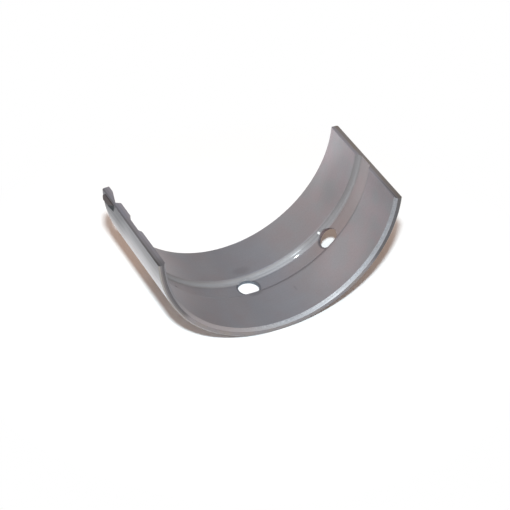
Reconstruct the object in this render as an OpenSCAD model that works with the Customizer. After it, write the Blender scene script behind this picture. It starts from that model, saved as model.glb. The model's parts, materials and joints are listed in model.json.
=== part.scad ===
// Half shell of a split plain bearing for the main journal of an engine's crankshaft.
// It is one piece: a steel-backed strip bent to a half ring, with an oil groove round
// the bore, two oil holes through the groove, chamfered ends and a locating tang.
// The shell lies on its back with the open side up. The origin is on the axis of the
// bore at half width, Y runs along that axis and Z points out of the open side.

/* [Shell] */
// Bore of the housing that the shell is pressed into
housing_d = 64; // [56:0.5:80]
// Wall thickness, steel back and lining together
wall = 2; // [1.9:0.05:3]
// Width along the axis
shell_w = 34; // [30:0.5:45]
// How far each end springs open when the shell is out of its housing, in degrees
spring_open = 3; // [0.5:0.5:5]

/* [End faces] */
// Bore chamfer at the end face away from the tang, measured along the axis
bore_chamfer_axial = 0.95; // [0.3:0.05:1.2]
// Bore chamfer at the end face away from the tang, measured across the wall
bore_chamfer_radial = 0.65; // [0.3:0.05:1]
// Edge break round the bore at the end face beside the tang
tang_end_break = 0.15; // [0.1:0.05:0.4]
// Edge break round the back, at both end faces
back_chamfer = 0.35; // [0.1:0.05:0.5]

/* [Joint faces] */
// Edge break along the bore at each joint face
joint_bore_chamfer = 0.15; // [0.1:0.05:0.6]
// Edge break along the back at each joint face
joint_back_chamfer = 0.1; // [0.1:0.05:0.5]

/* [Oil groove] */
// Width of the groove in the bore, before its rims are rolled over
groove_w = 6.3; // [5:0.1:9]
// How far the groove and its holes lie off the middle, towards the end beside the tang
groove_offset = 0.4; // [0:0.1:1]
// Mean depth of the groove's floor below the bore
groove_depth = 0.85; // [0.7:0.05:1.1]
// How far the floor's axis lies off the bore's axis, which makes one side deeper
groove_shift = 0.4; // [0:0.05:0.4]
// Where the groove is deepest, in degrees from the crown towards the second hole
groove_shift_at = 35; // [0:5:90]
// Slope of the groove's side walls against its floor, in degrees
groove_slope = 55; // [40:1:70]
// Radius of the rims, where the side walls roll over into the bore
groove_rim_r = 1.6; // [0.4:0.1:2]

/* [Oil holes] */
// Diameter of both oil holes
oil_hole_d = 5.5; // [3:0.1:6]
// Place of the feed hole round the bore, in degrees from the crown
feed_hole_at = 0; // [-10:1:10]
// Place of the second hole round the bore, in degrees from the crown
second_hole_at = 44; // [30:1:60]

/* [Tang] */
// Width of the locating tang at its root
tang_w = 5.5; // [4.5:0.1:6.5]
// Land between the tang and the end face beside it
tang_end_land = 2.1; // [1.8:0.1:4]
// How far the tang stands out from the back
tang_reach = 1.4; // [0.8:0.05:2]
// Radius of the tang's bowed outer edge
tang_bow_r = 5.5; // [4:0.5:12]
// How far the tang's sheared side leans in, from its root to its tip
tang_lean = 1.4; // [0.2:0.1:1.6]
// How far the tang runs down the back from the joint face
tang_h = 2.8; // [1.5:0.1:5]
// How far the top of the tang lies below the joint face
tang_drop = 0.15; // [0.05:0.05:0.3]
// Depth of the punched recess behind the tang, into the wall from the bore
recess_depth = 1.25; // [0.5:0.05:1.4]
// How far the recess runs down the bore from the joint face
recess_h = 4; // [2:0.1:6]
// Distance from the tang's sheared side to the deepest line of the recess
recess_set = 0.9; // [0.4:0.1:1.4]
// Run of the recess's short flank, along the axis
recess_flank = 0.8; // [0.4:0.1:1.2]

/* [Hidden] */
$fn = 180;
// Overshoot of every cut past the surface that it opens
over = 1;

// Out of its housing the strip keeps its length but opens to a wider radius
half_arc = 90 - spring_open;
back_r = housing_d / 2 * 90 / half_arc;
bore_r = back_r - wall;
half_w = shell_w / 2;

groove_floor_r = bore_r + groove_depth;
// Small angle at which the rolled rims still meet the bore
rim_meets = 5;

tang_far = half_w - tang_end_land;
tang_near = tang_far - tang_w;

steel_grey = [0.62, 0.61, 0.61];

// Turns a child's X-Y plane into the X-Z plane, with its Z along the bore
module along_axis() {
    rotate([90, 0, 0]) children();
}

// Places children at a joint face: X runs out along the face, Z stands square to it
module at_joint_face() {
    rotate([0, spring_open, 0]) children();
}

// Section of the wall: a wide bore chamfer at one end face and broken edges elsewhere.
// Turning it onto the axis reverses its second axis, so the tang's end is the negative one
module wall_section() {
    polygon([
        [bore_r, tang_end_break - half_w],
        [bore_r + tang_end_break, -half_w],
        [back_r - back_chamfer, -half_w],
        [back_r, back_chamfer - half_w],
        [back_r, half_w - back_chamfer],
        [back_r - back_chamfer, half_w],
        [bore_r + bore_chamfer_radial, half_w],
        [bore_r, half_w - bore_chamfer_axial]
    ]);
}

// The strip bent to its arc, from one joint face round to the other
module bent_strip() {
    along_axis()
        rotate([0, 0, 180 + spring_open])
            rotate_extrude(angle = 2 * half_arc)
                wall_section();
}

// Section of the groove down past its floor: sloping walls that roll over into the bore
module groove_sides() {
    roll_depth = groove_rim_r * cos(rim_meets);
    roll_y = groove_w / 2 + groove_rim_r / sin(groove_slope) - roll_depth / tan(groove_slope);
    wall_top_r = bore_r + roll_depth - groove_rim_r * cos(groove_slope);
    wall_top_y = roll_y - groove_rim_r * sin(groove_slope);
    wall_end = groove_depth + groove_shift + 0.1;
    wall_end_y = groove_w / 2 - wall_end / tan(groove_slope);
    difference() {
        polygon([
            [bore_r - over, -roll_y],
            [bore_r + roll_depth / 2, -roll_y],
            [wall_top_r, -wall_top_y],
            [bore_r + wall_end, -wall_end_y],
            [bore_r + wall_end, wall_end_y],
            [wall_top_r, wall_top_y],
            [bore_r + roll_depth / 2, roll_y],
            [bore_r - over, roll_y]
        ]);
        for (side = [-1, 1])
            translate([bore_r + roll_depth, side * roll_y])
                circle(r = groove_rim_r);
    }
}

// The walls run true with the bore; the floor is turned about an axis a little off it
module oil_groove() {
    translate([0, groove_offset, 0])
        intersection() {
            along_axis()
                rotate_extrude()
                    groove_sides();
            rotate([0, -groove_shift_at, 0])
                translate([0, groove_w, -groove_shift])
                    along_axis()
                        cylinder(r = groove_floor_r, h = 2 * groove_w);
        }
}

// A hole square through the wall, at an angle round the bore from the crown
module oil_hole(at) {
    rotate([0, -at, 0])
        translate([0, groove_offset, -back_r - over])
            cylinder(d = oil_hole_d, h = wall + 2 * over);
}

// Wedges that break the two long edges of a joint face
module joint_edge_breaks() {
    bore_edge = bore_r + joint_bore_chamfer;
    back_edge = back_r - joint_back_chamfer;
    translate([0, half_w + over, 0])
        along_axis()
            linear_extrude(shell_w + 2 * over) {
                polygon([
                    [bore_edge + over, over],
                    [bore_r - over, over],
                    [bore_r - over, -joint_bore_chamfer - over]
                ]);
                polygon([
                    [back_edge - over, over],
                    [back_r + over, over],
                    [back_r + over, -joint_back_chamfer - over]
                ]);
            }
}

// The tang seen from above the joint face: one side leans, the outer edge is bowed
module tang_outline() {
    root_r = back_r - wall / 4;
    tip_r = back_r + tang_reach;
    intersection() {
        polygon([
            [root_r, tang_near],
            [back_r, tang_near],
            [tip_r + over, tang_near + tang_lean * (tang_reach + over) / tang_reach],
            [tip_r + over, tang_far],
            [root_r, tang_far]
        ]);
        translate([tip_r - tang_bow_r, (tang_near + tang_far) / 2])
            circle(r = tang_bow_r);
    }
}

// The tang seen along the bore: a wedge that dies out down the back
module tang_wedge() {
    root_r = back_r - wall / 4;
    polygon([
        [root_r, -tang_drop],
        [back_r + tang_reach, -tang_drop],
        [sqrt(pow(back_r, 2) - pow(tang_h, 2)), -tang_h],
        [root_r, -tang_h]
    ]);
}

module tang() {
    intersection() {
        translate([0, 0, -tang_h])
            linear_extrude(tang_h)
                tang_outline();
        translate([0, tang_far, 0])
            along_axis()
                linear_extrude(tang_w)
                    tang_wedge();
    }
}

// Hollow that the punch leaves in the bore: a steep short flank and a long shallow one
module tang_recess() {
    deepest_y = tang_near + recess_set;
    intersection() {
        translate([0, 0, -recess_h])
            linear_extrude(recess_h + over)
                polygon([
                    [bore_r - over, deepest_y - recess_flank],
                    [bore_r, deepest_y - recess_flank],
                    [bore_r + recess_depth, deepest_y],
                    [bore_r, tang_far],
                    [bore_r - over, tang_far]
                ]);
        translate([0, half_w, 0])
            along_axis()
                linear_extrude(shell_w)
                    polygon([
                        [bore_r - over, over],
                        [bore_r + recess_depth + over, over],
                        [bore_r + recess_depth, 0],
                        [sqrt(pow(bore_r, 2) - pow(recess_h, 2)), -recess_h],
                        [bore_r - over, -recess_h]
                    ]);
    }
}

module bearing_shell() {
    color(steel_grey) {
        difference() {
            bent_strip();
            oil_groove();
            for (at = [feed_hole_at, second_hole_at])
                oil_hole(at);
            for (side = [0, 1])
                mirror([side, 0, 0])
                    at_joint_face()
                        joint_edge_breaks();
            mirror([1, 0, 0])
                at_joint_face()
                    tang_recess();
        }
        mirror([1, 0, 0])
            at_joint_face()
                tang();
    }
}

bearing_shell();
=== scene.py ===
# %% [markdown]
# # Half shell of an engine's main bearing
# A crankshaft turns in pairs of half rings like this one. Each is a thin steel strip with a softer grey
# lining inside, bent to an arc, with an oil groove round the bore, two oil holes and a small tang that
# keeps the shell in its place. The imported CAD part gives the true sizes. This lesson models the shell
# again in mesh code, so that its edges are softly broken and each surface has its own finish.

# %% Open the frame
import json
import math

import bmesh
import bpy
from mathutils import Euler, Matrix, Vector


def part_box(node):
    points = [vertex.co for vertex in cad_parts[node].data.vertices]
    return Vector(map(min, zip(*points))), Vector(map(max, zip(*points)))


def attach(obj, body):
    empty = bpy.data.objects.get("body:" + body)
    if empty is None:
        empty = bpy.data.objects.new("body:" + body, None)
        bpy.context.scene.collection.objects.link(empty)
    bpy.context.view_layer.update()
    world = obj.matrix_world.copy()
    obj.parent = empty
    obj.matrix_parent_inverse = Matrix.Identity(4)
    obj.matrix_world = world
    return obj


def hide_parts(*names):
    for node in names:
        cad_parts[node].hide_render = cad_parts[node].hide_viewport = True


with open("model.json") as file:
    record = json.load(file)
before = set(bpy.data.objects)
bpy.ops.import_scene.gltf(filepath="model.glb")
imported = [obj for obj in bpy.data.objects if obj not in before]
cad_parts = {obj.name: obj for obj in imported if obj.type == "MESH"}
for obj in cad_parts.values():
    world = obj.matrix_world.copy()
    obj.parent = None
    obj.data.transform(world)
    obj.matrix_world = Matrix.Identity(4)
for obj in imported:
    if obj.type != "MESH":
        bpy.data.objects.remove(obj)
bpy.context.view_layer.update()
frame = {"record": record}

# %% [markdown]
# ## Sizes from the frame
# The record that comes with the part says how large the bore and the back are, where the joint faces
# lie and where the holes go through. Reading them there keeps the looks and the solid together: if the
# part is packed again with another bore, this script follows. Blender works in metres.

# %% Read the sizes
mm = 0.001
mounts = {mount["name"]: mount for mount in frame["record"]["mounts"]}
bore_r = mounts["journal_seat"]["dims"]["r_mm"] * mm
back_r = mounts["housing_seat"]["dims"]["r_mm"] * mm
half_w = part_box("bearing_shell")[1].y
groove_y = mounts["feed_oil_hole"]["pos_m"][1]
spring_open = math.asin(mounts["plain_joint_face"]["axis"][0])
half_arc = math.pi / 2 - spring_open
floor_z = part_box("bearing_shell")[0].z
print(f"bore {bore_r / mm:.2f} mm, back {back_r / mm:.2f} mm, width {2 * half_w / mm:.2f} mm")
print(f"each end springs open by {math.degrees(spring_open):.1f} degrees, groove at {groove_y / mm:.1f} mm")

# %% [markdown]
# ## How deep the groove is
# The groove's side walls run true with the bore, but its floor was turned about an axis a little off it,
# so the groove is shallow at the tang and deep near the second hole. The rims are not sharp: they roll
# over into the bore on a radius. Two small functions hold this, because the section and the later
# correction both need them: the depth at an angle, and the groove's half width at a depth.

# %% Measure the groove
mean_depth, floor_shift, deepest_at = 0.85 * mm, 0.4 * mm, math.radians(35)
groove_half_w, groove_slope = 3.15 * mm, math.radians(55)
rim_r = 1.6 * mm
rim_reach = rim_r * math.tan(groove_slope / 2)


def groove_depth(angle):
    """Depth of the groove's floor at an angle from the crown, towards the plain joint face."""
    return mean_depth + floor_shift * math.cos(angle - deepest_at)


def groove_reach(depth):
    """Half the groove's width at a depth below the bore."""
    if depth > rim_r * (1 - math.cos(groove_slope)):
        return groove_half_w - depth / math.tan(groove_slope)
    return groove_half_w + rim_reach - math.sqrt(rim_r ** 2 - (rim_r - depth) ** 2)


plain_depth = groove_depth(half_arc)
for name, angle in (("tang end", -half_arc), ("crown", 0), ("plain end", half_arc)):
    print(f"groove depth at the {name}: {groove_depth(angle) / mm:.2f} mm")

# %% [markdown]
# ## The outline of the wall
# On the real shell a strip is rolled round, and its ends, bore and groove are then turned on a lathe.
# Everything that a lathe makes can be made in Blender by drawing a section and spinning it. The section
# has twelve corners. The front end has a wide chamfer at the bore, the end beside the tang only a broken
# edge. Each corner is rounded with a vertex bevel: much for the groove, a hair for the others.

# %% List the section's corners
chamfer_along, chamfer_across = 0.95 * mm, 0.65 * mm
far_break, back_break = 0.15 * mm, 0.35 * mm

# Each corner: distance from the axis, place along it, reach of the rounding, steps in the rounding
outline = {
    "near_foot": (bore_r + plain_depth, groove_y - groove_reach(plain_depth), 0.40 * mm, 5),
    "near_rim": (bore_r, groove_y - groove_half_w, rim_reach, 9),
    "near_land_end": (bore_r, chamfer_along - half_w, 0.06 * mm, 3),
    "chamfer_end": (bore_r + chamfer_across, -half_w, 0.05 * mm, 3),
    "near_face_edge": (back_r - back_break, -half_w, 0.07 * mm, 3),
    "near_back_edge": (back_r, back_break - half_w, 0.07 * mm, 3),
    "far_back_edge": (back_r, half_w - back_break, 0.07 * mm, 3),
    "far_face_edge": (back_r - back_break, half_w, 0.07 * mm, 3),
    "far_break_end": (bore_r + far_break, half_w, 0.05 * mm, 2),
    "far_land_end": (bore_r, half_w - far_break, 0.05 * mm, 2),
    "far_rim": (bore_r, groove_y + groove_half_w, rim_reach, 9),
    "far_foot": (bore_r + plain_depth, groove_y + groove_reach(plain_depth), 0.40 * mm, 5),
}
print("corners of the section:", ", ".join(outline))

# %% Draw the section at the plain joint face
def joint_axes(side):
    """Directions at a joint face, 1 for the plain one and -1 for the one with the tang: out and up."""
    out = Vector((side * math.cos(spring_open), 0, -math.sin(spring_open)))
    up = Vector((side * math.sin(spring_open), 0, math.cos(spring_open)))
    return out, up


shell_mesh = bmesh.new()
out, _ = joint_axes(1)
corners = {}
for name, (r, y, _, _) in outline.items():
    corners[name] = shell_mesh.verts.new(out * r + Vector((0, y, 0)))
shell_mesh.faces.new(corners.values())
for name, (_, _, reach, steps) in outline.items():
    bmesh.ops.bevel(
        shell_mesh, geom=[corners[name]], offset=reach, offset_type="OFFSET",
        segments=steps, profile=0.5, affect="VERTICES", material=-1,
    )
print("points in the section after rounding:", len(shell_mesh.verts))

# %% [markdown]
# ## Spinning the section
# A long edge in the section would become a long thin face, which takes a boolean cut badly, so edges
# are first split to about a millimetre. Then the face is taken away and its outline is spun about the
# bore's axis in steps of one degree.

# %% Spin the half ring
longest_edge = 1.2 * mm
for edge in shell_mesh.edges[:]:
    cuts = math.ceil(edge.calc_length() / longest_edge) - 1
    if cuts:
        bmesh.ops.subdivide_edges(shell_mesh, edges=[edge], cuts=cuts)
bmesh.ops.delete(shell_mesh, geom=shell_mesh.faces[:], context="FACES_ONLY")

plain_ring = shell_mesh.edges[:]
arc_steps = round(math.degrees(2 * half_arc))
spun = bmesh.ops.spin(
    shell_mesh, geom=shell_mesh.verts[:] + plain_ring, cent=(0, 0, 0), axis=(0, 1, 0),
    angle=2 * half_arc, steps=arc_steps,
)
tang_ring = [part for part in spun["geom_last"] if isinstance(part, bmesh.types.BMEdge)]
lowest = min(vert.co.z for vert in shell_mesh.verts)
print(f"{len(plain_ring)} edges spun in {arc_steps} steps, lowest point {lowest:.5f}")

# %% [markdown]
# ## A floor that lies off centre
# The section was spun with one depth. Cutting the true floor with a second spun shape would leave ragged
# thin faces, so the spun points are moved instead: each keeps its share of the local depth, and moves
# sideways so that it stays on the sloping wall. The two open ends are then closed with a flat face.

# %% Set the groove's depth round the bore
hair = 0.001 * mm
for vert in shell_mesh.verts:
    r, across = math.hypot(vert.co.x, vert.co.z), vert.co.y - groove_y
    depth = r - bore_r
    beside = abs(across) > groove_half_w + rim_reach
    if beside or not hair < depth < plain_depth + 10 * hair:
        continue
    true_depth = depth / plain_depth * groove_depth(math.atan2(vert.co.x, -vert.co.z))
    across *= groove_reach(true_depth) / groove_reach(depth)
    outwards = (bore_r + true_depth) / r
    vert.co = Vector((vert.co.x * outwards, groove_y + across, vert.co.z * outwards))

bmesh.ops.edgeloop_fill(shell_mesh, edges=plain_ring)
bmesh.ops.edgeloop_fill(shell_mesh, edges=tang_ring)
bmesh.ops.recalc_face_normals(shell_mesh, faces=shell_mesh.faces)
print("open edges left:", sum(edge.is_boundary for edge in shell_mesh.edges))

# %% [markdown]
# ## Broken edges at the joint faces
# The two joint faces meet those of the other half shell. A file or a cutter takes the sharp corner off
# along the bore and the back, so that no burr scrapes the journal. A bevel would run into the groove
# here, so a slanted plane slices the corner off instead, and the slice is filled with a flat face.

# %% Slice the corners of the joint faces
# Each edge: its radius, size of the break, and 1 where the cut leans inwards
joint_breaks = {"bore": (bore_r, 0.15 * mm, 1), "back": (back_r, 0.1 * mm, -1)}
near_joint, same_point = 3 * mm, 1e-7


def slice_off(mesh, parts, through, outer):
    """Cuts away what lies beyond a plane and closes the cut."""
    touched = {part for face in parts for part in (face, *face.edges, *face.verts)}
    sliced = bmesh.ops.bisect_plane(
        mesh, geom=list(touched), dist=same_point, plane_co=through, plane_no=outer, clear_outer=True,
    )
    rim = [part for part in sliced["geom_cut"] if isinstance(part, bmesh.types.BMEdge)]
    return bmesh.ops.edgeloop_fill(mesh, edges=rim)["faces"]


for side in (1, -1):
    out, up = joint_axes(side)
    for place, (edge_r, size, inwards) in joint_breaks.items():
        near = [face for face in shell_mesh.faces if face.calc_center_median().dot(up) > -near_joint]
        near = [face for face in near if face.calc_center_median().dot(out) > 0]
        made = slice_off(shell_mesh, near, out * (edge_r + inwards * size), up - out * inwards)
        print(f"side {side:+d}, {place} edge: {len(made)} flat faces")

# %% [markdown]
# ## From mesh to object
# What is left to make are holes, a recess and a tang. They cross the spun surface at odd places, so each
# is modelled as a small closed tool and joined to the shell with a Boolean modifier. For that the shell
# must be an object in the scene. The modifier is applied at once, so the next tool meets a plain mesh.

# %% Put the shell in the scene
def as_object(name, mesh):
    """Makes an object of a bmesh and links it."""
    bmesh.ops.recalc_face_normals(mesh, faces=mesh.faces)
    data = bpy.data.meshes.new(name)
    mesh.to_mesh(data)
    mesh.free()
    made = bpy.data.objects.new(name, data)
    bpy.context.scene.collection.objects.link(made)
    return made


def combine(target, tool, operation):
    """Applies a boolean of a tool on the target and removes the tool."""
    boolean = target.modifiers.new(tool.name, "BOOLEAN")
    boolean.operation, boolean.solver, boolean.object = operation, "EXACT", tool
    depsgraph = bpy.context.evaluated_depsgraph_get()
    joined = bpy.data.meshes.new_from_object(target.evaluated_get(depsgraph))
    target.modifiers.clear()
    target.data = joined
    bpy.data.objects.remove(tool)
    print(f"{operation.lower()}: {len(joined.vertices)} points, {len(joined.polygons)} faces")


bearing = as_object("bearing_shell_dressed", shell_mesh)
print(bearing.name, "has", len(bearing.data.polygons), "faces")

# %% [markdown]
# ## The oil holes
# Oil comes from the housing through one hole at the crown and another further round. They are drilled
# square through the wall, so a plain cylinder along each hole's axis does the drilling.

# %% Drill the oil holes
drill_length, drill_sides = 8 * mm, 72
hole_mounts = [mounts[name] for name in ("feed_oil_hole", "second_oil_hole")]
hole_r = hole_mounts[0]["dims"]["r_mm"] * mm
hole_lines = [(Vector(mount["pos_m"]), Vector(mount["axis"])) for mount in hole_mounts]
for middle, axis in hole_lines:
    drill = bmesh.new()
    place = Matrix.Translation(middle) @ axis.to_track_quat("Z", "Y").to_matrix().to_4x4()
    bmesh.ops.create_cone(
        drill, cap_ends=True, segments=drill_sides, radius1=hole_r, radius2=hole_r,
        depth=drill_length, matrix=place,
    )
    combine(bearing, as_object("drill", drill), "DIFFERENCE")

# %% [markdown]
# ## The punched recess
# The tang is a corner of the wall pushed out by a punch, and the punch leaves a three-sided hollow in
# the bore: a steep short flank, a long shallow one and a floor that rises away from the joint face. The
# tool is drawn from above the joint face, raised to a block, and one plane cuts its floor to the slope.

# %% Helpers for the punch and the tang
def at_tang_face():
    """Matrix that places a tool at the joint face with the tang: X out along the face, Z square to it."""
    out, up = joint_axes(-1)
    return Matrix((out, (0, 1, 0), up)).transposed().to_4x4()


def raise_face(mesh, face, by):
    """Pulls a face into a solid along a direction."""
    pulled = bmesh.ops.extrude_face_region(mesh, geom=[face], use_keep_orig=True)["geom"]
    lifted = [part for part in pulled if isinstance(part, bmesh.types.BMVert)]
    bmesh.ops.translate(mesh, verts=lifted, vec=by)


print("the joint face with the tang looks along", [round(value, 3) for value in joint_axes(-1)[1]])

# %% Punch the recess
tang_near, tang_far = 9.4 * mm, 14.9 * mm
recess_depth, recess_h, recess_flank = 1.25 * mm, 4 * mm, 0.8 * mm
deepest_y = tang_near + 0.9 * mm
overshoot = 1 * mm
punch = bmesh.new()
plan = [
    (bore_r - overshoot, deepest_y - recess_flank), (bore_r, deepest_y - recess_flank),
    (bore_r + recess_depth, deepest_y), (bore_r, tang_far), (bore_r - overshoot, tang_far),
]
base = punch.faces.new([punch.verts.new((x, y, -recess_h)) for x, y in plan])
raise_face(punch, base, (0, 0, recess_h + overshoot))
recess_foot_x = math.sqrt(bore_r ** 2 - recess_h ** 2)
slope_normal = Vector((recess_h, 0, recess_foot_x - bore_r - recess_depth))
slice_off(punch, punch.faces[:], Vector((bore_r + recess_depth, 0, 0)), slope_normal)
bmesh.ops.transform(punch, matrix=at_tang_face(), verts=punch.verts)
combine(bearing, as_object("punch", punch), "DIFFERENCE")

# %% [markdown]
# ## The tang
# The tang's outer edge is a bow, so it starts as a disc that is raised to a short drum. Planes then cut
# it down to the tang: one at its root in the wall, one at each side and a slanted one underneath, where
# it dies out down the back. The side that the punch sheared leans in towards the tip. The edges of the
# top are softened before the tang is joined to the shell.

# %% Shape the tang
tang_reach, tang_h, tang_drop = 1.4 * mm, 2.8 * mm, 0.15 * mm
bow_r, bow_sides = 5.5 * mm, 96
root_depth, shear_set = 0.5 * mm, 0.1 * mm
shear_normal = Vector((0.88, -1.0, -0.43))
tip_r = back_r + tang_reach
tang = bmesh.new()
disc_at = Matrix.Translation((tip_r - bow_r, (tang_near + tang_far) / 2, -tang_h))
bmesh.ops.create_circle(tang, cap_ends=True, segments=bow_sides, radius=bow_r, matrix=disc_at)
raise_face(tang, tang.faces[:][0], (0, 0, tang_h - tang_drop))
foot_x = math.sqrt(back_r ** 2 - tang_h ** 2)
cuts = {
    "root": (Vector((back_r - root_depth, 0, 0)), Vector((-1, 0, 0))),
    "far side": (Vector((0, tang_far, 0)), Vector((0, 1, 0))),
    "sheared side": (Vector((back_r, tang_near + shear_set, -tang_drop)), shear_normal),
    "underside": (Vector((foot_x, 0, -tang_h)), Vector((tang_h - tang_drop, 0, foot_x - tip_r))),
}
for name, (through, outer) in cuts.items():
    slice_off(tang, tang.faces[:], through, outer)
    print(f"tang after the {name} cut: {len(tang.faces)} faces")

# %% Soften the tang and join it
tang_soft_edge, buried = 0.12 * mm, 0.4 * mm


def is_top_edge(edge):
    """True for the edges round the tang's top, apart from the one that is buried in the wall."""
    at_top = all(vert.co.z > -tang_drop - hair for vert in edge.verts)
    return at_top and any(vert.co.x > back_r - buried for vert in edge.verts)


bmesh.ops.bevel(
    tang, geom=[edge for edge in tang.edges if is_top_edge(edge)], offset=tang_soft_edge,
    offset_type="OFFSET", segments=2, profile=0.5, affect="EDGES", material=-1,
)
bmesh.ops.transform(tang, matrix=at_tang_face(), verts=tang.verts)
combine(bearing, as_object("tang", tang), "UNION")

# %% [markdown]
# ## Soft rims on the holes
# A drilled edge on a bearing is brushed, because a burr would cut the lining. The edges that ring each
# hole are found by their distance from the hole's axis, and bevelled together. Where a hole bites into
# the groove's steep walls, the mesh is finer than the bevel and its faces would cross each other, so the
# rim stays plain there.

# %% Bevel the hole rims
rim_size, floor_half_w = 0.12 * mm, 1.9 * mm
hole_span, sharp_edge = 4 * mm, math.radians(30)
finish = bmesh.new()
finish.from_mesh(bearing.data)
bmesh.ops.remove_doubles(finish, verts=finish.verts, dist=2 * hair)


def from_hole(point, line):
    """Distance of a point from a hole's axis, or a metre if the point isn't near the hole."""
    middle, axis = line
    offset = point - middle
    along = offset.dot(axis)
    return (offset - axis * along).length if abs(along) < hole_span else 1.0


def on_even_metal(point):
    """True on the groove's floor and on the back, false on the groove's steep walls and fillets."""
    return abs(point.y - groove_y) < floor_half_w or math.hypot(point.x, point.z) > back_r - 100 * hair


for line in hole_lines:
    ring = []
    for edge in finish.edges:
        on_wall = all(abs(from_hole(vert.co, line) - hole_r) < 10 * hair for vert in edge.verts)
        clear = all(on_even_metal(vert.co) for vert in edge.verts)
        if on_wall and clear and edge.calc_face_angle(0) > sharp_edge:
            ring.append(edge)
    bmesh.ops.bevel(
        finish, geom=ring, offset=rim_size, offset_type="OFFSET",
        segments=2, profile=0.5, affect="EDGES", material=-1, clamp_overlap=False,
    )
    print("rim edges softened:", len(ring))

# %% [markdown]
# ## Which face has which finish
# The shell has five finishes: the grey lining in the bore and the groove, the bright turned chamfer, the
# darker cut steel of the end faces and hole walls, the rolled steel back, and the broached joint faces.
# Each face's place and direction says which it is, so a short test sorts them into material slots.

# %% Tell a face's finish
finish_names = ("lining", "chamfer", "cut_steel", "steel_back", "joint_face")
rim_band, joint_band = 0.05 * mm, 0.4 * mm
# How much of a face's direction, from 0 to 1, counts as facing a way or leaning towards it
faces_end, faces_up, faces_out, leans_to_end, leans_out = 0.85, 0.5, 0.75, 0.3, 0.2


def farthest(face, line):
    """Distance of a face's farthest corner from a hole's axis."""
    return max(from_hole(vert.co, line) for vert in face.verts)


def finish_of(face):
    """The finish that a face belongs to, by where it looks and where it lies."""
    middle, normal = face.calc_center_median(), face.normal
    radial = Vector((middle.x, 0, middle.z))
    outwards = normal.dot(radial) / radial.length
    _, up = joint_axes(1 if middle.x > 0 else -1)
    in_hole = any(farthest(face, line) < hole_r + rim_band for line in hole_lines)
    on_tang = radial.length > back_r + 20 * hair and outwards < faces_out
    if in_hole or on_tang or abs(normal.y) > faces_end:
        return "cut_steel"
    if middle.dot(up) > -joint_band and normal.dot(up) > faces_up:
        return "joint_face"
    if outwards > leans_out:
        return "steel_back"
    if abs(normal.y) > leans_to_end and abs(middle.y) > half_w - chamfer_along:
        return "chamfer"
    return "lining"


print("finishes:", ", ".join(finish_names))

# %% Sort the faces
counts = dict.fromkeys(finish_names, 0)
for face in finish.faces:
    name = finish_of(face)
    face.material_index = finish_names.index(name)
    face.smooth = True
    counts[name] += 1
print("faces by finish:", counts)

# %% [markdown]
# ## Even shading
# Smooth shading blends the directions of neighbouring faces. Next to a tiny bevel a broad flat face
# would then look bent, so a Weighted Normal modifier lets the large faces decide, and edges that are
# truly sharp are kept out of the blend.

# %% Shade the mesh
bmesh.ops.recalc_face_normals(finish, faces=finish.faces)
finish.to_mesh(bearing.data)
finish.free()
bearing.data.set_sharp_from_angle(angle=sharp_edge)
even = bearing.modifiers.new("even_shading", "WEIGHTED_NORMAL")
even.keep_sharp = True
print(bearing.name, "has", len(bearing.data.vertices), "points")

# %% [markdown]
# ## Nodes with less writing
# Procedural materials are node trees. A few small helpers keep the cells below short: the first adds a
# node and fills or links its inputs in one go, others give a sum, a product, a colour mix or a smooth
# step, and the last opens a node group with named sockets, which can then be placed in several
# materials with different values.

# %% Node helpers
def add(tree, kind, inputs=None, **settings):
    """Adds a node, sets its properties, and sets or links its inputs."""
    made = tree.nodes.new("ShaderNode" + kind)
    for name, value in settings.items():
        setattr(made, name, value)
    for key, value in (inputs or {}).items():
        if isinstance(value, bpy.types.NodeSocket):
            tree.links.new(value, made.inputs[key])
        else:
            made.inputs[key].default_value = value
    return made


def calc(tree, operation, *values):
    """A Math node's result."""
    return add(tree, "Math", dict(enumerate(values)), operation=operation).outputs[0]


def times(tree, first, *others):
    """The product of two or more values."""
    for other in others:
        first = calc(tree, "MULTIPLY", first, other)
    return first


def plus(tree, total, value, share=1.0):
    """A total with a share of a value added to it."""
    return calc(tree, "MULTIPLY_ADD", value, share, total)


def largest(tree, first, *others):
    """The largest of two or more values."""
    for other in others:
        first = calc(tree, "MAXIMUM", first, other)
    return first


def ramp(tree, value, low, high, to_low=0.0, to_high=1.0):
    """A smooth step from one value to another."""
    inputs = {"Value": value, "From Min": low, "From Max": high, "To Min": to_low, "To Max": to_high}
    return add(tree, "MapRange", inputs, interpolation_type="SMOOTHSTEP").outputs["Result"]


print("helpers for values ready")

# %% Helpers for points, colours and groups
def vector(tree, operation, first, second):
    """A Vector Math node's vector."""
    return add(tree, "VectorMath", {0: first, 1: second}, operation=operation).outputs["Vector"]


def scaled(tree, value, scale):
    """A vector or colour times a number."""
    return add(tree, "VectorMath", {0: value, "Scale": scale}, operation="SCALE").outputs["Vector"]


def length(tree, value):
    """The length of a vector."""
    return add(tree, "VectorMath", {0: value}, operation="LENGTH").outputs["Value"]


def blend(tree, factor, first, second, blend_type="MIX"):
    """A colour mix's result."""
    mixed = add(tree, "Mix", data_type="RGBA", blend_type=blend_type)
    for socket, value in zip((mixed.inputs[0], mixed.inputs[6], mixed.inputs[7]), (factor, first, second)):
        if isinstance(value, bpy.types.NodeSocket):
            tree.links.new(value, socket)
        else:
            socket.default_value = value
    return mixed.outputs[2]


def new_group(name, inputs, outputs):
    """A shader node group with its sockets, and its input and output nodes."""
    tree = bpy.data.node_groups.new(name, "ShaderNodeTree")
    for label, kind, value in inputs:
        tree.interface.new_socket(label, in_out="INPUT", socket_type=kind).default_value = value
    for label, kind in outputs:
        tree.interface.new_socket(label, in_out="OUTPUT", socket_type=kind)
    return tree, tree.nodes.new("NodeGroupInput").outputs, tree.nodes.new("NodeGroupOutput").inputs


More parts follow.
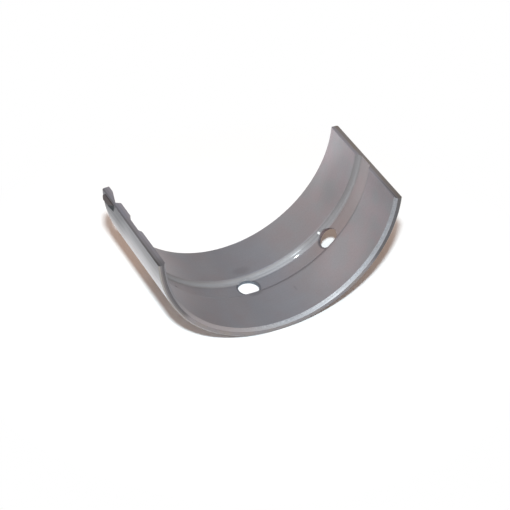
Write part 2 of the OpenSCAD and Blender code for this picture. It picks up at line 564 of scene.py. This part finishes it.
NUMBER, POINT, TINT = "NodeSocketFloat", "NodeSocketVector", "NodeSocketColor"
print("helpers for points, colours and groups ready")

# %% [markdown]
# ## Coordinates that follow the bend
# Turning marks, brushed lines and stains follow the strip round its arc. Object coordinates are
# straight, so a group unrolls them: the distance round the arc, the place along the axis and the
# distance from the bore, all in millimetres. Every pattern below is drawn on this unrolled strip.

# %% Unroll the strip
unrolled, group_in, group_out = new_group(
    "unrolled_strip", [], [("Strip", POINT), ("Round", NUMBER), ("Along", NUMBER), ("Depth", NUMBER)]
)
place = add(unrolled, "TexCoord").outputs["Object"]
split = add(unrolled, "SeparateXYZ", {0: scaled(unrolled, place, 1 / mm)}).outputs
angle = calc(unrolled, "ARCTAN2", split["X"], times(unrolled, split["Z"], -1.0))
arc = times(unrolled, angle, bore_r / mm)
flat = add(unrolled, "CombineXYZ", {"X": split["X"], "Z": split["Z"]}).outputs[0]
depth = calc(unrolled, "SUBTRACT", length(unrolled, flat), bore_r / mm)
strip = add(unrolled, "CombineXYZ", {"X": arc, "Y": split["Y"], "Z": depth}).outputs[0]
for socket, value in zip(("Strip", "Round", "Along", "Depth"), (strip, arc, split["Y"], depth)):
    unrolled.links.new(value, group_out[socket])
print("group", unrolled.name, "gives", [item.name for item in unrolled.interface.items_tree])

# %% [markdown]
# ## Cloudy tints
# Bare bearing metal is never one colour. Handling and oil leave patches a few millimetres wide that
# lean a little to pink, tan or blue. A soft noise picks between two tints, and a finer one breaks up
# the patches' edges.

# %% A group for cloudy tints
clouds, group_in, group_out = new_group(
    "cloudy_tint",
    [("Strip", POINT, (0, 0, 0)), ("Patch Size", NUMBER, 8.0), ("Cool", TINT, (0.5, 0.5, 0.5, 1)),
     ("Warm", TINT, (0.5, 0.5, 0.5, 1)), ("Grain", NUMBER, 0.06)],
    [("Color", TINT), ("Grain", NUMBER)],
)
speckles_per_mm = 2.6
on_strip = {"Vector": group_in["Strip"]}
patch_scale = calc(clouds, "DIVIDE", 1.0, group_in["Patch Size"])
patches = add(clouds, "TexNoise", {**on_strip, "Scale": patch_scale, "Detail": 3.0}).outputs[0]
tint = blend(clouds, ramp(clouds, patches, 0.36, 0.64), group_in["Cool"], group_in["Warm"])
speckle = add(clouds, "TexNoise", {**on_strip, "Scale": speckles_per_mm, "Detail": 2.0}).outputs[0]
speckle = calc(clouds, "SUBTRACT", speckle, 0.5)
lift = plus(clouds, 1.0, speckle, group_in["Grain"])
clouds.links.new(scaled(clouds, tint, lift), group_out["Color"])
clouds.links.new(speckle, group_out["Grain"])
print("group", clouds.name, "has", len(clouds.nodes), "nodes")

# %% [markdown]
# ## Tool marks
# A lathe leaves fine rings, a broach leaves straight lines, and rolling leaves short streaks. All are
# noise that is squeezed across the marks and stretched along them, so one group makes them all: its
# input says how many marks fit in a millimetre along each direction of the unrolled strip.

# %% A group for tool marks
marks, group_in, group_out = new_group(
    "tool_marks", [("Strip", POINT, (0, 0, 0)), ("Per mm", POINT, (0.1, 5, 5))], [("Height", NUMBER)]
)
squeezed = vector(marks, "MULTIPLY", group_in["Strip"], group_in["Per mm"])
noise = {"Vector": squeezed, "Scale": 1.0, "Detail": 2.0, "Roughness": 0.6}
marks.links.new(add(marks, "TexNoise", noise).outputs[0], group_out["Height"])
print("group", marks.name, "has", len(marks.nodes), "nodes")

# %% [markdown]
# ## Soft spots
# A smudge, a nick or a rubbed area is a spot on the strip: full in its middle and fading to nothing at
# its edge. The distance from the spot's place, divided by its size, gives that as one number, and a
# smooth step turns it into a mask.

# %% A group for soft spots
spots, group_in, group_out = new_group(
    "soft_spot", [("Strip", POINT, (0, 0, 0)), ("At", POINT, (0, 0, 0)), ("Size", POINT, (1, 1, 1))],
    [("Mask", NUMBER)],
)
full_to = 0.3
flat = vector(spots, "MULTIPLY", vector(spots, "SUBTRACT", group_in["Strip"], group_in["At"]), (1, 1, 0))
share = length(spots, vector(spots, "DIVIDE", flat, group_in["Size"]))
spots.links.new(ramp(spots, share, 1.0, full_to), group_out["Mask"])
print("group", spots.name, "has", len(spots.nodes), "nodes")

# %% [markdown]
# ## Lining and steel in one cut
# The lining is about half a millimetre thick. Where a chamfer or a joint face cuts through the wall,
# both metals show side by side: the lining is lilac grey and soft, the steel under it darker. The mask
# compares the depth below the bore with the lining's thickness, and a little noise makes it waver.

# %% A group for the cut through both metals
two_metals, group_in, group_out = new_group(
    "lining_on_steel", [("Strip", POINT, (0, 0, 0)), ("Lining", NUMBER, 0.5)], [("Steel", NUMBER)]
)
waver_height, blur = 0.15, 0.06
depth = add(two_metals, "SeparateXYZ", {0: group_in["Strip"]}).outputs["Z"]
waver = add(two_metals, "TexNoise", {"Vector": group_in["Strip"], "Scale": 0.7}).outputs[0]
depth = plus(two_metals, depth, calc(two_metals, "SUBTRACT", waver, 0.5), waver_height)
beyond = calc(two_metals, "SUBTRACT", depth, group_in["Lining"])
two_metals.links.new(ramp(two_metals, beyond, -blur, blur), group_out["Steel"])
print("group", two_metals.name, "has", len(two_metals.nodes), "nodes")

# %% [markdown]
# ## What the materials share
# Each finish is a Principled shader with a cloudy colour, tool marks in its roughness and its bumps, and
# masks on the strip. Short functions place the groups in a material, and one feeds the shader.

# %% Helpers that place the groups
def new_material(name):
    """A node material, its tree, its shader's inputs and an unrolled strip to draw on."""
    made = bpy.data.materials.new(name)
    made.use_nodes = True
    tree = made.node_tree
    return made, tree, tree.nodes["Principled BSDF"].inputs, add(tree, "Group", node_tree=unrolled).outputs


def clouded(tree, strip, size, cool, warm, grain):
    """A cloudy colour from two tints, and its grain."""
    inputs = {"Strip": strip["Strip"], "Patch Size": size, "Cool": cool, "Warm": warm, "Grain": grain}
    return add(tree, "Group", inputs, node_tree=clouds).outputs


def marked(tree, strip, per_mm):
    """The height of tool marks."""
    return add(tree, "Group", {"Strip": strip["Strip"], "Per mm": per_mm}, node_tree=marks).outputs[0]


def spot(tree, strip, at, size):
    """A mask with a soft edge round a place on the unrolled strip."""
    inputs = {"Strip": strip["Strip"], "At": (*at, 0), "Size": (*size, 1)}
    return add(tree, "Group", inputs, node_tree=spots).outputs[0]


def steel_below(tree, strip, lining_mm):
    """A mask of the steel where a cut goes through a lining of some thickness."""
    inputs = {"Strip": strip["Strip"], "Lining": lining_mm}
    return add(tree, "Group", inputs, node_tree=two_metals).outputs[0]


print("groups to place:", [group.name for group in bpy.data.node_groups])

# %% Helpers for the shader
def roughness_of(tree, height, smooth, rough):
    """Roughness that follows the tool marks."""
    return ramp(tree, height, 0.3, 0.7, smooth, rough)


def feed(tree, shader, color, roughness, height, bump_mm, metallic):
    """Feeds a shader its colour and roughness, bumps from the tool marks, and how metallic it is."""
    bump = add(tree, "Bump", {"Height": height, "Distance": bump_mm * mm, "Strength": 1.0})
    tree.links.new(color, shader["Base Color"])
    tree.links.new(roughness, shader["Roughness"])
    tree.links.new(bump.outputs[0], shader["Normal"])
    shader["Metallic"].default_value = metallic


wall_mm, joint_arc = (back_r - bore_r) / mm, half_arc * bore_r / mm
print(f"the strip runs {joint_arc:.1f} mm to each side of the crown and is {wall_mm:.1f} mm thick")

# %% [markdown]
# ## The bare lining
# The lining is matt from its boring: a metal that scatters light widely. Its greys drift from bluish at
# the crown to pinkish at the ends. Wide areas carry painted light and shade, a little lighter or darker,
# and it is painted lighter towards the far end near the joint faces. The groove's floor, where oil has
# stood, is a touch warmer.

# %% Greys of the lining
lining, tree, shader, strip = new_material("lining")
arc, along, depth = strip["Round"], strip["Along"], strip["Depth"]
towards_plain, towards_tang = ramp(tree, arc, 5.0, 48.0), ramp(tree, arc, -10.0, -22.0)

# Greys at the crown, at the plain end and at the tang's end
cool_greys = (0.385, 0.42, 0.475, 1), (0.42, 0.424, 0.449, 1), (0.40, 0.402, 0.432, 1)
warm_greys = (0.388, 0.402, 0.45, 1), (0.458, 0.417, 0.446, 1), (0.418, 0.405, 0.432, 1)


def along_the_arc(greys):
    """A grey that drifts from the crown's to those of the two ends."""
    crown, plain_end, tang_end = greys
    return blend(tree, towards_tang, blend(tree, towards_plain, crown, plain_end), tang_end)


cool, warm = along_the_arc(cool_greys), along_the_arc(warm_greys)
cloud = clouded(tree, strip, size=7.0, cool=cool, warm=warm, grain=0.2)
print("greys of the lining:", len(tree.nodes), "nodes")

# %% Painted light and shade on the lining
# Each spot of painted light or shade: place on the strip, size, how much lighter or darker it is
painted_light_spots = (
    ((24.5, -9.0), (13.0, 11.0), 0.18),
    ((36.5, 8.0), (11.0, 8.0), -0.17),
    ((48.0, -2.0), (11.0, 20.0), -0.15),
)
# Painted light: how much lighter each millimetre towards the far end face is, near the two joint faces
painted_far_side_light = (towards_plain, 0.008), (towards_tang, 0.006)
in_groove = ramp(tree, depth, 0.3, 0.6)
painted_light_and_tone = ramp(tree, arc, -2.0, -8.0, 0.0, 0.05)
for near_joint_face, gain in painted_far_side_light:
    painted_light_and_tone = plus(tree, painted_light_and_tone, times(tree, along, near_joint_face), gain)
for at, size, change in painted_light_spots:
    painted_light_and_tone = plus(tree, painted_light_and_tone, spot(tree, strip, at, size), change)
painted_light_and_tone = plus(tree, painted_light_and_tone, in_groove, ramp(tree, arc, 34.0, 47.0, 0.0, 0.08))
painted_light_and_tone = plus(tree, painted_light_and_tone, in_groove, ramp(tree, arc, -18.0, -26.0, 0.0, -0.2))
tone = scaled(tree, cloud["Color"], plus(tree, 1.0, painted_light_and_tone))
print("rubbed areas:", len(painted_light_spots), "spots,", len(tree.nodes), "nodes so far")

# %% Bluish crown and warm floor
crown_blue, floor_tan = (0.33, 0.385, 0.465, 1), (0.465, 0.405, 0.41, 1)
from_crown = calc(tree, "ABSOLUTE", calc(tree, "SUBTRACT", arc, 3.0))
tone = blend(tree, ramp(tree, from_crown, 11.0, 4.0, 0.0, 0.4), tone, crown_blue)
warm_floor = times(tree, in_groove, ramp(tree, arc, 12.0, 26.0, 0.0, 0.5))
tone = blend(tree, warm_floor, tone, floor_tan)
print("colour of the bare lining:", len(tree.nodes), "nodes so far")

# %% [markdown]
# ## Stains and nicks
# Old oil has dried on the groove's far wall and in its corner, and rings the holes. Along the near rim a
# dark line of painted shade is laid in the same way. All of these are masks on the unrolled strip: a
# distance from the groove's middle gives a line, a distance from a hole's axis gives a ring, and a soft
# spot gives a smudge. Two nicks and a faint streak on the far wall are smoother than the metal round
# them, and painted lighter as painted highlights.

# %% Oil in the groove
wall_grey = (0.365, 0.36, 0.365, 1)
off_middle = calc(tree, "SUBTRACT", along, groove_y / mm)
wall = times(tree, ramp(tree, off_middle, 1.9, 2.3), ramp(tree, depth, 0.01, 0.12))
tone = blend(tree, times(tree, wall, 0.9), tone, wall_grey)

wiped = times(tree, ramp(tree, off_middle, 2.8, 2.45), ramp(tree, arc, 28.0, 38.0, 0.1, 0.65))
film = times(tree, wall, ramp(tree, arc, 15.0, 20.0, 0.05, 0.36), ramp(tree, arc, 32.0, 48.0, 1.0, 0.25))
film = times(tree, film, calc(tree, "SUBTRACT", 1.0, wiped))
corner = times(tree, ramp(tree, off_middle, 1.0, 2.2), ramp(tree, off_middle, 2.9, 2.5))
corner = times(tree, corner, ramp(tree, arc, 20.0, 13.0, 0.0, 0.13))
# Painted shade: a dark line along the near rim, where the rounded rim turns away from the lamp.
from_rim = calc(tree, "ABSOLUTE", calc(tree, "ADD", off_middle, 3.3))
painted_rim_shade = times(tree, ramp(tree, from_rim, 0.8, 0.0), ramp(tree, arc, 0.0, 2.0))
speckled = plus(tree, 1.0, cloud["Grain"], 1.6)
painted_rim_shade = times(tree, painted_rim_shade, ramp(tree, arc, 46.0, 34.0, 0.0, 0.24), speckled)
stain = largest(tree, film, corner, painted_rim_shade)
print("oil on the far wall, in the corner and on the near rim:", len(tree.nodes), "nodes so far")

# %% Smudges and rings round the holes
# Each smudge: place on the strip, size, strength
smudges = (
    ((0.6, 6.2), (3.2, 2.0), 0.14),
    ((-21.7, 0.1), (0.7, 0.55), 0.55),
    ((9.5, -7.3), (0.35, 1.5), 0.14),
)
for at, size, strength in smudges:
    stain = largest(tree, stain, times(tree, spot(tree, strip, at, size), strength))

ring_in, ring_out = hole_r + 0.15 * mm, hole_r + 0.65 * mm
place = add(tree, "TexCoord").outputs["Object"]
ring = 0.0
for middle, axis in hole_lines:
    off = vector(tree, "CROSS_PRODUCT", vector(tree, "SUBTRACT", place, middle), axis)
    ring = largest(tree, ring, ramp(tree, length(tree, off), ring_out, ring_in))
ring = times(tree, ring, plus(tree, 0.62, wall, -0.5), ramp(tree, arc, 25.5, 23.5))
smear = spot(tree, strip, at=(0.0, -3.7), size=(2.6, 1.0))
ring = largest(tree, ring, times(tree, smear, 0.24))
print(len(smudges), "smudges and", len(hole_lines), "rings:", len(tree.nodes), "nodes so far")

# %% Lining material
# The nicks are smoother than the metal round them, and their light grey is a painted highlight.
dried_oil, blued, polished_and_painted_glint = (0.08, 0.06, 0.06, 1), (0.10, 0.12, 0.15, 1), (0.8, 0.82, 0.82, 1)
# Each bare mark: place on the strip, size, how bare it is
bare_marks = (
    ((15.2, 3.25), (2.4, 0.14), 0.18),
    ((14.9, 2.72), (1.1, 0.10), 1.0),
    ((23.0, 3.2), (0.36, 0.42), 1.0),
)
nicks = 0.0
for at, size, strength in bare_marks:
    nicks = largest(tree, nicks, times(tree, spot(tree, strip, at, size), strength))
soiled = blend(tree, ring, blend(tree, stain, tone, dried_oil), blued)
bored = marked(tree, strip, per_mm=(0.08, 4.0, 1.0))
roughness = plus(tree, roughness_of(tree, bored, smooth=0.54, rough=0.60), wall, 0.17)
roughness = plus(tree, roughness, nicks, -0.45)
feed(tree, shader, blend(tree, nicks, soiled, polished_and_painted_glint), roughness, bored, bump_mm=0.004, metallic=0.9)
print("material", lining.name, "has", len(tree.nodes), "nodes")

# %% [markdown]
# ## The chamfer
# The chamfer is freshly turned, so it is the brightest metal on the shell, and coarser in its grain. Its
# rings run round the axis. It crosses from the lining into the steel, so both show. Towards the two
# ends and round the crown it carries painted shade, and one stretch of its outer edge a painted highlight.

# %% Chamfer material
chamfer, tree, shader, strip = new_material("chamfer")
arc = strip["Round"]
cool, warm, fresh_steel = (0.43, 0.445, 0.47, 1), (0.43, 0.435, 0.45, 1), (0.43, 0.44, 0.46, 1)
tang_side_grey, painted_highlight_grey = (0.50, 0.47, 0.48, 1), (0.62, 0.63, 0.65, 1)
left_dull = (0.27, 0.28, 0.31, 1)
cloud = clouded(tree, strip, size=6.0, cool=cool, warm=warm, grain=1.1)
bright = blend(tree, steel_below(tree, strip, lining_mm=0.35), cloud["Color"], fresh_steel)
bright = blend(tree, ramp(tree, arc, 2.0, -16.0), bright, tang_side_grey)
# Painted highlight on a stretch of the chamfer's outer edge.
painted_glint_mask = times(tree, spot(tree, strip, at=(16.5, -17.0), size=(5.0, 0.55)), 0.4)
bright = blend(tree, painted_glint_mask, bright, painted_highlight_grey)
# Painted shade: darker towards the two ends and round the crown, where the lamp's highlight falls off.
dull = plus(tree, ramp(tree, arc, 18.0, 32.0, 0.0, 0.34), ramp(tree, arc, -22.0, -40.0, 0.0, 0.6))
dull = plus(tree, dull, spot(tree, strip, at=(7.0, -16.5), size=(9.5, 9.5)), 0.25)
rings = marked(tree, strip, per_mm=(0.06, 7.0, 7.0))
roughness = roughness_of(tree, rings, smooth=0.70, rough=0.78)
feed(tree, shader, blend(tree, dull, bright, left_dull), roughness, rings, bump_mm=0.006, metallic=1.0)
print("material", chamfer.name, "has", len(tree.nodes), "nodes")

# %% [markdown]
# ## Cut steel
# The end faces, the walls of the holes and the tang are bare steel that was cut and then left to dull.
# It is darker than the chamfer, with rings from the cutter, and near the joint faces it is almost black.
# Oil has tinted the first hole's wall bluish. The second hole's wall turns brown, a painted reflection of
# the shadowed paper under it, and the upper lip of each hole's wall is painted lighter as a painted
# highlight. On the tang a dark line of painted shade runs along its root, and the sheared cheek is the
# darkest of all.

# %% Dull end faces
cut, tree, shader, strip = new_material("cut_steel")
arc, along, depth = strip["Round"], strip["Along"], strip["Depth"]
cool, warm, left_dull = (0.225, 0.215, 0.23, 1), (0.24, 0.22, 0.215, 1), (0.08, 0.08, 0.085, 1)
no_cast, tan_cast = (1, 1, 1, 1), (1.02, 0.965, 0.925, 1)
cloud = clouded(tree, strip, size=4.0, cool=cool, warm=warm, grain=0.15)
cast = blend(tree, ramp(tree, arc, -4.0, -14.0), no_cast, tan_cast)
metal = blend(tree, 1.0, cloud["Color"], cast, "MULTIPLY")
tang_dull = times(tree, ramp(tree, arc, -27.0, -30.0), ramp(tree, depth, 1.35, 1.15, 0.35, 1.0))
dull = times(tree, largest(tree, ramp(tree, arc, 27.0, 32.0), tang_dull), 0.75)
metal = blend(tree, dull, metal, left_dull)
print("end faces:", len(tree.nodes), "nodes")

# %% Hole walls: oil and painted light
blue_oil, dark_oil, painted_reflection_brown = (0.145, 0.165, 0.19, 1), (0.165, 0.15, 0.165, 1), (0.236, 0.186, 0.194, 1)
painted_lip_highlight = (0.34, 0.335, 0.34, 1)
# The brown is a painted reflection of the shadowed paper under the second hole.
second_hole = blend(tree, ramp(tree, arc, 21.6, 23.6), dark_oil, painted_reflection_brown)
oil_and_painted_light = blend(tree, ramp(tree, arc, 8.0, 16.0), blue_oil, second_hole)
# Painted highlight: the upper lip of each hole's wall is lighter, like a rounded rim catching light.
oil_and_painted_light = blend(tree, ramp(tree, depth, 1.08, 0.88), oil_and_painted_light, painted_lip_highlight)
in_hole = ramp(tree, calc(tree, "ABSOLUTE", along), 8.0, 6.0)
metal = blend(tree, in_hole, metal, oil_and_painted_light)
print("end faces and hole walls:", len(tree.nodes), "nodes")

# %% Tang and cut steel material
top_grey, root_painted_shade, cheek_dark = (0.16, 0.155, 0.165, 1), (0.06, 0.05, 0.055, 1), (0.035, 0.04, 0.045, 1)
# Painted shade: a dark line along the tang's root, where it rises from the back.
seam = ramp(tree, depth, wall_mm + 0.4, wall_mm + 0.05, 0.0, 0.8)
below_top = ramp(tree, arc, 0.16 - joint_arc, 0.25 - joint_arc)
punched = blend(tree, below_top, blend(tree, seam, top_grey, root_painted_shade), cheek_dark)
metal = blend(tree, ramp(tree, depth, wall_mm - 0.03, wall_mm + 0.03), metal, punched)
rings = marked(tree, strip, per_mm=(0.1, 5.0, 7.0))
roughness = roughness_of(tree, rings, smooth=0.50, rough=0.60)
feed(tree, shader, metal, roughness, rings, bump_mm=0.006, metallic=0.7)
print("material", cut.name, "has", len(tree.nodes), "nodes")

# %% [markdown]
# ## The steel back
# The back presses against the engine block. It is rolled strip with a light satin finish, streaked
# round the arc. It is darker near its ends and round the tang. The belly that it lies on is painted dark
# as painted shade, so that it throws less light into its shadow on the paper. Its broken edges are bare,
# duller steel with a tan tint that is a painted reflection of the shadowed paper below.

# %% Steel back material
back, tree, shader, strip = new_material("steel_back")
arc, along = strip["Round"], strip["Along"]
cool, warm = (0.58, 0.585, 0.62, 1), (0.565, 0.55, 0.56, 1)
left_dull, bare_edge_and_reflection = (0.17, 0.175, 0.19, 1), (0.325, 0.31, 0.295, 1)
cloud = clouded(tree, strip, size=11.0, cool=cool, warm=warm, grain=0.08)
streaks = marked(tree, strip, per_mm=(1.1, 0.05, 1.0))
from_end = calc(tree, "SUBTRACT", joint_arc, calc(tree, "ABSOLUTE", arc))
near_tang = times(tree, ramp(tree, along, 1.0, 10.0, 0.0, 0.45), ramp(tree, arc, -32.0, -42.0))
dull = plus(tree, ramp(tree, from_end, 10.5, 0.0, 0.0, 0.80), near_tang)
dull = plus(tree, dull, ramp(tree, streaks, 0.35, 0.65, -0.03, 0.03))
# Painted shade: the belly is darkened so that less light bounces into the shadow on the paper.
painted_belly_shade = ramp(tree, arc, -34.0, -28.0, 0.0, 0.5)
rolled = blend(tree, largest(tree, dull, painted_belly_shade), cloud["Color"], left_dull)
# The broken edges are duller cut steel, and their tan is a painted reflection of the shadowed paper.
edge_at = (half_w - back_break) / mm
edge = ramp(tree, calc(tree, "ABSOLUTE", along), edge_at - 0.07, edge_at + 0.03)
roughness = roughness_of(tree, streaks, smooth=0.36, rough=0.46)
feed(tree, shader, blend(tree, edge, rolled, bare_edge_and_reflection), roughness, streaks, bump_mm=0.004, metallic=1.0)
print("material", back.name, "has", len(tree.nodes), "nodes")

# %% [markdown]
# ## The joint faces
# A broach cuts the joint faces in straight strokes along the axis. The steel is left darker than the
# turned edges, and the lining shows as a lilac band along the bore. The front ends and the seam between
# the metals on the plain side are darker, and the back edge on the tang's side has a line of painted shade.

# %% Broached metals
joint, tree, shader, strip = new_material("joint_face")
arc, along, depth = strip["Round"], strip["Along"], strip["Depth"]
tang_side, plain_side = ramp(tree, arc, 1.0, -1.0), ramp(tree, arc, -1.0, 1.0)
cool, warm, lilac = (0.33, 0.345, 0.38, 1), (0.33, 0.33, 0.34, 1), (0.39, 0.40, 0.455, 1)
plain_cast, tang_cast = (1.02, 0.97, 0.90, 1), (0.99, 1.01, 1.09, 1)
cloud = clouded(tree, strip, size=5.0, cool=cool, warm=warm, grain=0.12)
steel = blend(tree, 1.0, cloud["Color"], blend(tree, tang_side, plain_cast, tang_cast), "MULTIPLY")
both = blend(tree, steel_below(tree, strip, lining_mm=0.85), lilac, steel)
print("metals of the joint faces:", len(tree.nodes), "nodes")

# %% Joint face material
dark_and_shade_grey = (0.13, 0.135, 0.14, 1)
# Painted shade: a dark line along the back edge on the tang's side.
darkening_and_painted_shade = times(tree, ramp(tree, depth, 1.4, 1.75), tang_side, 0.5)
darkening_and_painted_shade = plus(tree, darkening_and_painted_shade, ramp(tree, along, -3.0, -13.0, 0.0, 0.28))
darkening_and_painted_shade = plus(tree, darkening_and_painted_shade, ramp(tree, along, -12.5, -16.5), plus(tree, 0.18, tang_side, 0.2))
from_seam = calc(tree, "ABSOLUTE", calc(tree, "SUBTRACT", depth, 0.5))
seam = times(tree, ramp(tree, from_seam, 0.25, 0.1, 0.0, 0.28), ramp(tree, along, -6.0, -11.0), plain_side)
darkening_and_painted_shade = plus(tree, darkening_and_painted_shade, seam)
strokes = marked(tree, strip, per_mm=(6.0, 0.15, 8.0))
roughness = roughness_of(tree, strokes, smooth=0.62, rough=0.70)
feed(tree, shader, blend(tree, darkening_and_painted_shade, both, dark_and_shade_grey), roughness, strokes, bump_mm=0.006, metallic=0.9)
print("material", joint.name, "has", len(tree.nodes), "nodes")

# %% [markdown]
# ## Dressing the shell
# The faces already know the number of their finish, so the materials only have to be added in the same
# order. The shell then takes the place of the plain solid and rides on the same body.

# %% Dress the shell
for material in (lining, chamfer, cut, back, joint):
    bearing.data.materials.append(material)
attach(bearing, "root")
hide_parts("bearing_shell")
print(bearing.name, "carries", [material.name for material in bearing.data.materials])

# %% [markdown]
# ## The floor
# The shell lies on white paper. Paper that is lit as strongly as the shell is white by itself; further
# out, where the lamp falls off, the paper fades to plain white for the camera and for reflections,
# through the Light Path node. Near the shell it stays ordinary paper, so it keeps the shadow.

# %% Lay the paper
sheet_half = 1.5
sheet = bmesh.new()
level = Matrix.Translation((0, 0, floor_z))
bmesh.ops.create_grid(sheet, x_segments=1, y_segments=1, size=sheet_half, matrix=level)
floor = as_object("paper", sheet)
print("paper at", round(floor_z, 5))

# %% Paper material
fade_from, fade_to, paper_white = 52 * mm, 85 * mm, (0.94, 0.94, 0.94, 1)
paper = bpy.data.materials.new("white_paper")
paper.use_nodes = True
tree = paper.node_tree
tree.nodes.clear()
light_path = add(tree, "LightPath").outputs
seen = largest(tree, *(light_path[f"Is {kind} Ray"] for kind in ("Camera", "Glossy", "Transmission")))
from_middle = length(tree, add(tree, "TexCoord").outputs["Object"])
fade = times(tree, ramp(tree, from_middle, fade_from, fade_to), seen)
matt = add(tree, "BsdfDiffuse", {"Color": paper_white}).outputs[0]
plain = add(tree, "Emission", {"Color": (1, 1, 1, 1), "Strength": 1.0}).outputs[0]
mixed = add(tree, "MixShader", {0: fade, 1: matt, 2: plain}).outputs[0]
add(tree, "OutputMaterial", {"Surface": mixed})
floor.data.materials.append(paper)
print("material", paper.name, "has", len(tree.nodes), "nodes")

# %% [markdown]
# ## Light
# A small soft lamp stands just above the camera. It throws the short shadow that peeps out on both
# sides of the shell and puts the bright streaks on the groove's far wall. The room adds a warm light
# that is stronger from above than from the sides. It fills the shadows, so the lamp is a touch cooler.

# %% Set the lamp
lamp_at = Vector((-196, -372, 432)) * mm
lamp_size, lamp_watts, cool_white = 32 * mm, 5.0, (0.84, 0.95, 1.0)
lamp = bpy.data.lights.new("lamp", "AREA")
lamp.shape, lamp.size, lamp.energy, lamp.color = "DISK", lamp_size, lamp_watts, cool_white
lamp_object = bpy.data.objects.new("lamp", lamp)
lamp_object.location = lamp_at
lamp_object.rotation_euler = (-lamp_at).to_track_quat("-Z", "Y").to_euler()
bpy.context.scene.collection.objects.link(lamp_object)
print("lamp at", [round(value, 3) for value in lamp_at])

# %% Light the room
walls, ceiling = (0.32, 0.235, 0.19, 1), (0.49, 0.36, 0.295, 1)
left_gain = 0.35
room = bpy.data.worlds.new("room")
room.use_nodes = True
tree = room.node_tree
towards = add(tree, "SeparateXYZ", {0: add(tree, "TexCoord").outputs["Generated"]}).outputs
glow = blend(tree, largest(tree, towards["Z"], 0.0), walls, ceiling)
glow = scaled(tree, glow, plus(tree, 1.0, towards["X"], -left_gain))
tree.links.new(glow, tree.nodes["Background"].inputs["Color"])
bpy.context.scene.world = room
bpy.context.scene.view_settings.view_transform = "Standard"
print("room lit from", len(tree.nodes), "nodes")

# %% [markdown]
# ## Camera
# The place, the turn and the lens were found by fitting the shell's own edges to the picture. A long
# lens from half a metre keeps the perspective mild.

# %% Set the camera
camera_at = Vector((-202.577, -390.458, 326.507)) * mm
camera_turn = [math.radians(turn) for turn in (51.66002, -1.48500, -26.39897)]
camera = bpy.data.cameras.new("camera")
camera.lens, camera.sensor_width = 156.7963, 36
camera_object = bpy.data.objects.new("camera", camera)
camera_object.location = camera_at
camera_object.rotation_euler = Euler(camera_turn, "XYZ")
bpy.context.scene.collection.objects.link(camera_object)
bpy.context.scene.camera = camera_object
print("camera at", [round(value, 3) for value in camera_at])
